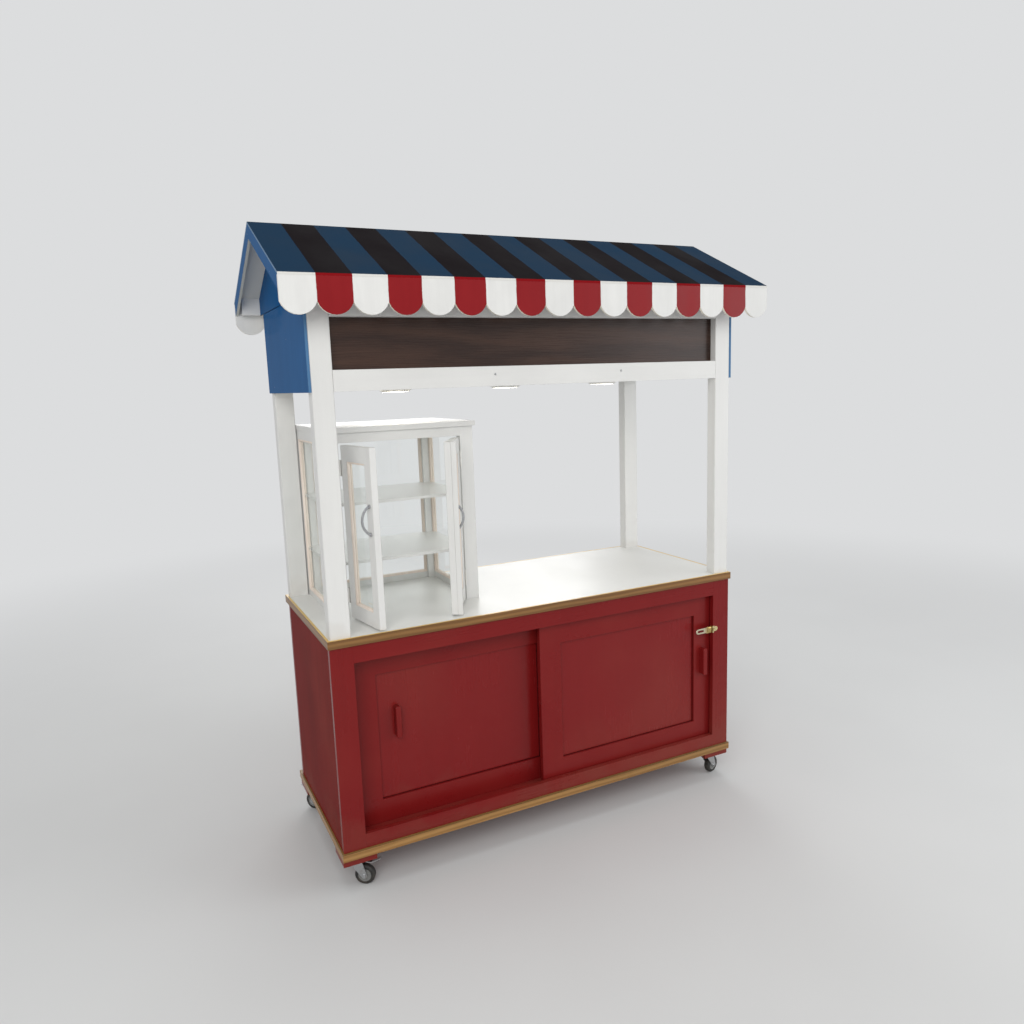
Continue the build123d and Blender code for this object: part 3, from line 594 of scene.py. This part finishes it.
class Shape:
    """Vertices and faces of one piece, added to by simple operations."""

    def __init__(self):
        self.verts = []
        self.faces = []

    def add(self, verts, faces, matrix=Matrix.Identity(4)):
        start = len(self.verts)
        self.verts.extend(matrix @ Vector(v) for v in verts)
        self.faces.extend([start + i for i in face] for face in faces)

    def rings(self, loops, closed=False):
        """Skin between loops of equal length, capped at both ends or closed into a ring."""
        count = len(loops[0])
        verts = [v for loop in loops for v in loop]
        faces = []
        last = len(loops) if closed else len(loops) - 1
        for j in range(last):
            for i in range(count):
                a, b = j * count, ((j + 1) % len(loops)) * count
                k = (i + 1) % count
                faces.append([a + i, a + k, b + k, b + i])
        if not closed:
            faces.append(list(range(count)))
            faces.append([(len(loops) - 1) * count + i for i in reversed(range(count))])
        return verts, faces

    def lathe(self, profile, matrix, segments):
        """Revolves (radius, height) points about the matrix's Z axis."""
        loops = []
        for radius, height in profile:
            loops.append([(radius * math.cos(a), radius * math.sin(a), height)
                          for a in (2 * math.pi * i / segments for i in range(segments))])
        self.add(*self.rings(loops), matrix)

    def bead(self, corners, outward, profile):
        """A mitred strip inside a rectangle. Profile points are (inward from the edge, out of the plane)."""
        loops = []
        for i, corner in enumerate(corners):
            to_next = (corners[(i + 1) % 4] - corner).normalized()
            to_last = (corners[i - 1] - corner).normalized()
            loops.append([corner + (to_next + to_last) * a + outward * b for a, b in profile])
        self.add(*self.rings(loops, closed=True))

    def strip(self, start, end, outward, inward, width):
        """A low fillet along a joint, wedge shaped in section, that reads as the joint's shadow."""
        section = [(0.0, -0.0002), (width, -0.0002), (width * 0.7, 0.0004), (0.0, 0.0016)]
        loops = [[point + inward * a + outward * b for a, b in section] for point in (start, end)]
        self.add(*self.rings(loops))

    def made(self, name, material, body, slot, smooth_angle=None):
        """The finished piece, which rides on its body. Edges flatter than the angle are smooth."""
        mesh = bpy.data.meshes.new(name)
        mesh.from_pydata([tuple(v) for v in self.verts], [], self.faces)
        work = bmesh.new()
        work.from_mesh(mesh)
        bmesh.ops.remove_doubles(work, verts=work.verts, dist=1e-6)
        bmesh.ops.dissolve_degenerate(work, edges=work.edges, dist=1e-7)
        bmesh.ops.recalc_face_normals(work, faces=work.faces)
        if smooth_angle:
            for face in work.faces:
                face.smooth = True
            for edge in work.edges:
                edge.smooth = len(edge.link_faces) == 2 and edge.calc_face_angle() < smooth_angle
        work.to_mesh(mesh)
        work.free()
        mesh.materials.append(MATERIALS[material])
        made = bpy.data.objects.new(name, mesh)
        bpy.context.scene.collection.objects.link(made)
        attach(made, body)
        return made


def facing(point, direction):
    """A matrix at the point whose Z axis is the direction."""
    return Matrix.Translation(point) @ Vector(direction).to_track_quat("Z", "Y").to_matrix().to_4x4()


def islands(node):
    """The separate solids of a node, each a list of corner points."""
    work = bmesh.new()
    work.from_mesh(NODES[node].data)
    bmesh.ops.remove_doubles(work, verts=work.verts, dist=1e-6)
    left = set(work.verts)
    found = []
    for start in work.verts:
        if start not in left:
            continue
        left.remove(start)
        queue, group = [start], []
        while queue:
            vert = queue.pop()
            group.append(vert.co.copy())
            for edge in vert.link_edges:
                other = edge.other_vert(vert)
                if other in left:
                    left.remove(other)
                    queue.append(other)
        found.append(group)
    work.free()
    return found


def extent(points):
    """The lowest and highest corners of the points' box."""
    return (Vector([min(p[i] for p in points) for i in range(3)]),
            Vector([max(p[i] for p in points) for i in range(3)]))


Board = namedtuple("Board", "middle across through width thickness height")


def pane(points):
    """An upright flat board: its middle, its directions across its face and through it, and its sizes."""
    low, high = extent(points)
    flat = []
    for p in points:
        q = Vector((p.x, p.y, 0))
        if all((q - other).length > 1e-5 for other in flat):
            flat.append(q)
    first = flat[0]
    others = sorted(flat[1:], key=lambda q: (q - first).length)
    through = others[0] - first
    across = others[1] - first
    middle = sum(flat, Vector()) / len(flat)
    middle.z = (low.z + high.z) / 2
    return Board(middle, across.normalized(), through.normalized(), across.length, through.length,
                 high.z - low.z)


def face_corners(board, side, inset=0.0):
    """The corners of one of a board's two faces, in order, and the direction out of it."""
    out = board.through * side
    centre = board.middle + out * board.thickness / 2
    half_width, half_height = board.width / 2 - inset, board.height / 2 - inset
    corners = [centre + board.across * a * half_width + UP * b * half_height
               for a, b in ((-1, -1), (1, -1), (1, 1), (-1, 1))]
    return corners, out


def quarter_round(size, steps=5):
    """A bead's section: square at the glass and the frame, round outside."""
    points = [(0.0, 0.0), (size, 0.0)]
    for i in range(steps + 1):
        angle = math.pi / 2 * i / steps
        points.append((size * (0.35 + 0.65 * math.cos(angle)), size * (0.35 + 0.65 * math.sin(angle))))
    points.append((0.0, size))
    return points


def screw_angles():
    tip = math.atan2(CROSS_ARM, CROSS_REACH)
    quarter = [0.0, tip, 0.5, math.pi / 4, math.pi / 2 - 0.5, math.pi / 2 - tip]
    return [q + math.pi / 2 * i for i in range(4) for q in quarter]


def cross_radius(angle):
    """How far the outline of the screw's cross lies from its middle."""
    turn = angle % (math.pi / 2)
    turn = min(turn, math.pi / 2 - turn)
    if turn <= math.atan2(CROSS_ARM, CROSS_REACH) + 1e-9:
        return CROSS_REACH / math.cos(turn)
    return CROSS_ARM / math.sin(turn)


def screw(shape, point, direction, radius):
    """A low pan head with a cross recess, built at a head radius of 1."""
    angles = screw_angles()
    loops = []
    for scale, height in ((1.0, -0.05), (1.0, 0.12), (0.88, 0.34), (0.66, 0.44)):
        loops.append([(scale * math.cos(a), scale * math.sin(a), height) for a in angles])
    for scale, height in ((1.0, 0.44), (0.75, 0.16)):
        loops.append([(scale * cross_radius(a) * math.cos(a), scale * cross_radius(a) * math.sin(a), height)
                      for a in angles])
    verts, faces = shape.rings(loops)
    shape.add(verts, faces, facing(point, direction) @ Matrix.Scale(radius, 4))


def bolt(shape, point, direction, radius):
    """A washer and a hexagon head, built at a head radius of 1."""
    washer = [(0.0, 0.0), (1.55, 0.0), (1.6, 0.06), (1.55, 0.2), (0.0, 0.2)]
    matrix = facing(point, direction) @ Matrix.Scale(radius, 4)
    shape.lathe(washer, matrix, 24)
    loops = []
    for scale, height in ((1.0, 0.2), (1.0, 0.78), (0.9, 0.88)):
        loops.append([(scale * math.cos(math.pi / 3 * i), scale * math.sin(math.pi / 3 * i), height)
                      for i in range(6)])
    verts, faces = shape.rings(loops)
    shape.add(verts, faces, matrix)


# ---------------------------------------------------------------- pieces

def glazing():
    """Pine beads on both faces of every pane."""
    fixed = Shape()
    for points in islands("showcase_glass"):
        board = pane(points)
        for side in (-1, 1):
            corners, out = face_corners(board, side)
            fixed.bead(corners, out, quarter_round(FIXED_BEAD))
    fixed.made("showcase_glazing_beads", "pine", "kiosk", "varnished_trim", 0.6)
    for hand in HANDS:
        moving = Shape()
        board = pane(islands(hand + "_case_door_glass")[0])
        for side in (-1, 1):
            corners, out = face_corners(board, side)
            moving.bead(corners, out, quarter_round(DOOR_BEAD))
        moving.made(hand + "_case_door_beads", "pine", hand + "_case_door", "varnished_trim", 0.6)


def shelf_supports():
    """Small blocks, each with a screw, that carry the shelves at the showcase's stiles."""
    blocks, heads = Shape(), Shape()
    outline = [(-0.006, -0.0125), (-0.0045, -0.014), (0.0045, -0.014), (0.006, -0.0125), (0.006, 0.0), (-0.006, 0.0)]
    sections = ((0.0, 1.0, 1.0), (SUPPORT_DEPTH - 0.0015, 1.0, 1.0), (SUPPORT_DEPTH, 0.85, 0.92))
    low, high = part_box("showcase_stiles")
    middle = (low + high) / 2
    for stile in islands("showcase_stiles"):
        low, high = extent(stile)
        inner_x, turn_x = (high.x, -1) if high.x < middle.x else (low.x, 1)
        face_y, turn_y = (high.y, 1) if high.y < middle.y else (low.y, -1)
        x = inner_x + turn_x * SUPPORT_INSET
        for shelf in islands("showcase_shelves"):
            under = extent(shelf)[0].z
            loops = [[(x + a * width, face_y + turn_y * depth, under + b * height) for a, b in outline]
                     for depth, width, height in sections]
            blocks.add(*blocks.rings(loops))
            screw(heads, (x, face_y + turn_y * (SUPPORT_DEPTH - 0.0001), under - 0.007), (0, turn_y, 0), SMALL_SCREW)
    blocks.made("showcase_shelf_supports", "pine", "kiosk", "varnished_trim")
    heads.made("shelf_support_screws", "zinc", "kiosk", "zinc_steel", 0.5)


def panel_joint_shade():
    """Dark strips below and to the right of the sliding doors' panels: an open gap and, mostly, painted shade on the
    ledges there.
    """
    for hand in HANDS:
        board = pane(islands(hand + "_sliding_door_panel")[0])
        corners, out = face_corners(board, -1 if board.through.y > 0 else 1, PANEL_TONGUE)
        corners.sort(key=lambda corner: (corner.z, corner.x))
        foot_left, foot_right, top_right = corners[0], corners[1], corners[3]
        lines = Shape()
        lines.strip(foot_left, foot_right, out, UP, PANEL_SHADE_LINE)
        lines.strip(foot_right, top_right, out, Vector((-1, 0, 0)), PANEL_SHADE_LINE)
        lines.made(hand + "_sliding_door_shade_lines", "joint", hand + "_sliding_door", "red_paint")


def roof_underside(y):
    """The height of the roof sheets' lower face."""
    ridge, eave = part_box("side_panels")[1].z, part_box("front_roof_sheet")[0]
    return ridge - (ridge - eave.z) / -eave.y * abs(y)


def bargeboards():
    """Thin boards under the roof's ends, mitred at the ridge, with a broken lower arris."""
    for node in ("front_bargeboards", "back_bargeboards"):
        low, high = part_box(node)
        foot = low.y if abs(low.y) > abs(high.y) else high.y
        boards = Shape()
        for side in (-1, 1):
            end = high.x * side
            loops = []
            for x, cut in ((end - side * BARGE_THICKNESS, 0.0), (end - side * BARGE_ARRIS, 0.0), (end, BARGE_ARRIS)):
                loops.append([(x, 0.0, roof_underside(0.0)), (x, 0.0, roof_underside(0.0) - BARGE_DROP + cut),
                              (x, foot, roof_underside(foot) - BARGE_DROP + cut), (x, foot, roof_underside(foot))])
            boards.add(*boards.rings(loops))
        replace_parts(boards.made(node + "_thin", "blue", "kiosk", "blue_paint"), node)


def gable_corners():
    """The gable boards' corners out to the eave battens, and the level joint along their foot."""
    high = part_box("side_panels")[1]
    inner, outer = extent(islands("side_panels")[0])
    thickness = outer.x - inner.x
    reach = max(extent(timber)[0].y for timber in islands("roof_timbers"))
    corners, joints = Shape(), Shape()
    for side in (-1, 1):
        face = high.x * side
        for end in (-1, 1):
            edge, far = high.y * end, reach * end
            loops = [[(x, edge, GABLE_JOINT_HEIGHT), (x, far, GABLE_JOINT_HEIGHT), (x, far, roof_underside(far)),
                      (x, edge, roof_underside(edge))] for x in (face - side * thickness, face)]
            corners.add(*corners.rings(loops))
        first, last = (Vector((face, y, GABLE_JOINT_HEIGHT)) for y in (-reach, reach))
        joints.strip(first, last, Vector((side, 0, 0)), UP, GABLE_JOINT_LINE)
    corners.made("gable_corners", "blue", "kiosk", "blue_paint")
    joints.made("gable_joint_lines", "blue_joint", "kiosk", "blue_paint")


def arc(centre, radius, start, end, steps):
    """Points on an arc whose centre lies on the first axis. Angles in degrees."""
    angles = [math.radians(start + (end - start) * i / steps) for i in range(steps + 1)]
    return [(centre + radius * math.cos(a), radius * math.sin(a)) for a in angles]


def squared(value):
    """A sine or cosine pushed outwards, which turns a circle into a rounded square."""
    return math.copysign(abs(value) ** 0.6, value)


def hasp_leaf():
    """A pressed strap: slotted nose, wider root with a raised pad, and the middle knuckle at its end."""
    low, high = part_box("hasp_leaf")
    middle, axis_x, axis_y = (low.z + high.z) / 2, high.x - HASP_KNUCKLE, low.y + HASP_KNUCKLE
    back = high.y - HASP_GAP
    front = back - HASP_THICKNESS
    root = axis_x - HASP_KNUCKLE
    shoulder, neck = root - HASP_SHOULDER, root - HASP_NECK

    outer = [(root, 0.0), (root, HASP_ROOT / 2), (root, HASP_ROOT), (shoulder, HASP_ROOT), (neck, HASP_NOSE)]
    outer += arc(low.x + HASP_NOSE, HASP_NOSE, 90, 270, 16)
    outer += [(neck, -HASP_NOSE), (shoulder, -HASP_ROOT), (root, -HASP_ROOT), (root, -HASP_ROOT / 2)]
    left, right = low.x + HASP_SLOT[0], low.x + HASP_SLOT[1]
    slot = arc(right, HASP_SLOT_RADIUS, 0, 90, 4) + arc(left, HASP_SLOT_RADIUS, 90, 270, 16)
    slot += arc(right, HASP_SLOT_RADIUS, -90, -22.5, 3)
    centre = (left + right) / 2 + 0.012

    def ring(points, y, shrink=0.0):
        """An outline at one depth, drawn in towards the centre for a broken edge."""
        return [(x + (centre - x) * shrink, y, middle + z * (1 - shrink)) for x, z in points]

    leaf = Shape()
    leaf.add(*leaf.rings([ring(outer, back), ring(outer, front + 0.0004), ring(outer, front, 0.015),
                          ring(slot, front), ring(slot, back)], closed=True))

    angles = [2 * math.pi * i / 32 for i in range(32)]
    pad = []
    for scale, height in ((1.0, -0.0002), (1.0, 0.0007), (0.93, 0.0013), (0.72, 0.0018), (0.35, 0.0020)):
        half = scale * HASP_PAD
        pad.append([(root - 0.0115 + half * squared(math.cos(a)), front - height,
                     middle + half * squared(math.sin(a))) for a in angles])
    leaf.add(*leaf.rings(pad))

    half = (high.z - low.z) / 6 - HASP_GAP
    tongue = [(root - 0.0005, -half), (root - 0.0005, half), (axis_x, half), (axis_x, -half)]
    leaf.add(*leaf.rings([[(x, y, middle + z) for x, z in tongue] for y in (back, front)]))
    radius, arris = HASP_KNUCKLE, 0.0003
    barrel = [(0.0, -half), (radius - arris, -half), (radius, -half + arris), (radius, half - arris),
              (radius - arris, half), (0.0, half)]
    leaf.lathe(barrel, Matrix.Translation((axis_x, axis_y, middle)), 24)
    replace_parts(leaf.made("hasp_strap", "hasp", "hasp", "brass", 0.6), "hasp_leaf")


def hasp_screws():
    """The screws of the hasp's plate."""
    low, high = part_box("hasp_plate")
    middle = (low.z + high.z) / 2
    heads = Shape()
    for inset, rise in HASP_SCREWS:
        screw(heads, (high.x - inset, low.y + HASP_PLATE_FACE, middle + rise), (0, -1, 0), SMALL_SCREW)
    heads.made("hasp_screws", "brass", "kiosk", "brass", 0.5)


def rail_screws():
    """Two screws in the lower header rail, front and back."""
    low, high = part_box("header_rails")
    heads = Shape()
    for x in RAIL_SCREWS_AT:
        for face, direction in ((low.y, -1), (high.y, 1)):
            screw(heads, (x, face, low.z + RAIL_SCREW_HEIGHT), (0, direction, 0), RAIL_SCREW)
    heads.made("header_rail_screws", "zinc", "kiosk", "zinc_steel", 0.5)


def diffusers():
    """The lit discs under the ceiling lamps."""
    shape = Shape()
    for points in islands("ceiling_lamps"):
        low, high = extent(points)
        middle = Vector(((low.x + high.x) / 2, (low.y + high.y) / 2, low.z))
        shape.lathe(DIFFUSER_PROFILE, facing(middle, DOWN), 48)
    shape.made("lamp_diffusers", "diffuser", "kiosk", "lamp_plastic", 0.7)


def wheel_axis(name):
    """The direction of a wheel's axle."""
    for row in frame["joints"]:
        if row["name"] == name + "_wheel_spin":
            return Vector(row["axis"]).normalized()
    raise KeyError(name)


def wheel_hubs():
    """A ribbed plastic hub on both sides of each wheel."""
    for name in CASTERS:
        low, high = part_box(name + "_caster_wheel")
        middle = (low + high) / 2
        axle = wheel_axis(name)
        hub = Shape()
        for side in (-1, 1):
            matrix = facing(middle, axle * side)
            hub.lathe(HUB_PROFILE, matrix, 40)
            for i in range(HUB_SPOKES):
                turn = Matrix.Rotation(2 * math.pi * i / HUB_SPOKES, 4, "Z")
                base = [(x, y, 0.0080) for x, y in SPOKE_OUTLINE]
                crown = [(x, y * 0.6, 0.0098) for x, y in SPOKE_OUTLINE]
                verts, faces = hub.rings([base, crown])
                hub.add(verts, faces, matrix @ turn)
        hub.made(name + "_wheel_hub", "hub", name + "_wheel", "zinc_steel", 0.5)


def caster_bolts():
    """A bolt at each corner of the caster plates."""
    shape = Shape()
    for points in islands("caster_plates"):
        low, high = extent(points)
        for x in (low.x + CASTER_BOLT_INSET, high.x - CASTER_BOLT_INSET):
            for y in (low.y + CASTER_BOLT_INSET, high.y - CASTER_BOLT_INSET):
                bolt(shape, (x, y, low.z), DOWN, CASTER_BOLT)
    shape.made("caster_bolts", "zinc", "kiosk", "zinc_steel")


glazing()
shelf_supports()
panel_joint_shade()
bargeboards()
gable_corners()
hasp_leaf()
hasp_screws()
rail_screws()
diffusers()
wheel_hubs()
caster_bolts()


# ---------------------------------------------------------------- studio

def make_floor():
    """A pale floor that melts into the backdrop with distance, to the eye and in reflections only."""
    graph = Graph("studio_floor")
    distance = graph.node("ShaderNodeVectorMath", {0: graph.place}, operation="LENGTH").outputs["Value"]
    shade = graph.noise(1.5, detail=2)
    surface = graph.node("ShaderNodeBsdfDiffuse", {"Color": graph.tint(rgb(208, 209, 209), shade, 0.99, 1.01)})
    glow = graph.node("ShaderNodeEmission", {"Color": BACKDROP, "Strength": 1.0})
    path = graph.node("ShaderNodeLightPath")
    seen = graph.math("MAXIMUM", path.outputs["Is Camera Ray"], path.outputs["Is Glossy Ray"])
    seen = graph.math("MAXIMUM", seen, path.outputs["Is Transmission Ray"])
    far = graph.times(graph.step(distance, 1.4, 6.0), seen)
    mixed = graph.node("ShaderNodeMixShader", {0: far, 1: surface.outputs[0], 2: glow.outputs[0]})
    mesh = bpy.data.meshes.new("studio_floor")
    mesh.from_pydata([(x * FLOOR_HALF, y * FLOOR_HALF, 0) for x, y in ((-1, -1), (1, -1), (1, 1), (-1, 1))],
                     [], [[0, 1, 2, 3]])
    mesh.materials.append(graph.surface(mixed))
    floor = bpy.data.objects.new("studio_floor", mesh)
    bpy.context.scene.collection.objects.link(floor)


def make_world():
    """Even light on the object, and the backdrop's colour to the eye, in metal and through glass."""
    world = bpy.data.worlds.new("studio")
    bpy.context.scene.world = world
    world.use_nodes = True
    nodes, links = world.node_tree.nodes, world.node_tree.links
    nodes.clear()
    light = nodes.new("ShaderNodeBackground")
    light.inputs["Color"].default_value = (1.0, 1.0, 1.0, 1.0)
    light.inputs["Strength"].default_value = WORLD_STRENGTH
    seen = nodes.new("ShaderNodeBackground")
    seen.inputs["Color"].default_value = BACKDROP
    path = nodes.new("ShaderNodeLightPath")
    factor = path.outputs["Is Camera Ray"]
    for ray in ("Is Transmission Ray", "Is Glossy Ray"):
        either = nodes.new("ShaderNodeMath")
        either.operation = "MAXIMUM"
        links.new(factor, either.inputs[0])
        links.new(path.outputs[ray], either.inputs[1])
        factor = either.outputs[0]
    mixed = nodes.new("ShaderNodeMixShader")
    links.new(factor, mixed.inputs[0])
    links.new(light.outputs[0], mixed.inputs[1])
    links.new(seen.outputs[0], mixed.inputs[2])
    output = nodes.new("ShaderNodeOutputWorld")
    links.new(mixed.outputs[0], output.inputs["Surface"])


def make_lamp(name, place, height, size, power, colour):
    """A soft lamp aimed at the object's middle at some height, unseen through the panes."""
    data = bpy.data.lights.new(name, "AREA")
    data.shape = "RECTANGLE"
    data.size, data.size_y = size
    data.energy = power
    data.color = colour
    lamp = bpy.data.objects.new(name, data)
    aim = Vector((0.0, 0.0, height)) - Vector(place)
    lamp.matrix_world = Matrix.Translation(place) @ aim.to_track_quat("-Z", "Y").to_matrix().to_4x4()
    lamp.visible_transmission = False
    bpy.context.scene.collection.objects.link(lamp)


def make_camera():
    """The photograph's camera. Yaw turns it from straight ahead, +Y, towards +X."""
    yaw, pitch, roll = (math.radians(angle) for angle in (CAMERA_YAW, CAMERA_PITCH, CAMERA_ROLL))
    forward = Vector((math.sin(yaw) * math.cos(pitch), math.cos(yaw) * math.cos(pitch), math.sin(pitch)))
    level = Vector((math.cos(yaw), -math.sin(yaw), 0.0))
    upright = level.cross(forward)
    right = level * math.cos(roll) + upright * math.sin(roll)
    up = upright * math.cos(roll) - level * math.sin(roll)
    data = bpy.data.cameras.new("camera")
    data.sensor_width = SENSOR_WIDTH
    data.lens = FOCAL_PIXELS / FRAME_PIXELS * SENSOR_WIDTH
    camera = bpy.data.objects.new("camera", data)
    turn = Matrix((right, up, -forward)).transposed().to_4x4()
    camera.matrix_world = Matrix.Translation(CAMERA_PLACE) @ turn
    bpy.context.scene.collection.objects.link(camera)
    bpy.context.scene.camera = camera


make_floor()
make_world()
for row in LAMPS:
    make_lamp(*row)
make_camera()
bpy.context.scene.view_settings.view_transform = "Standard"
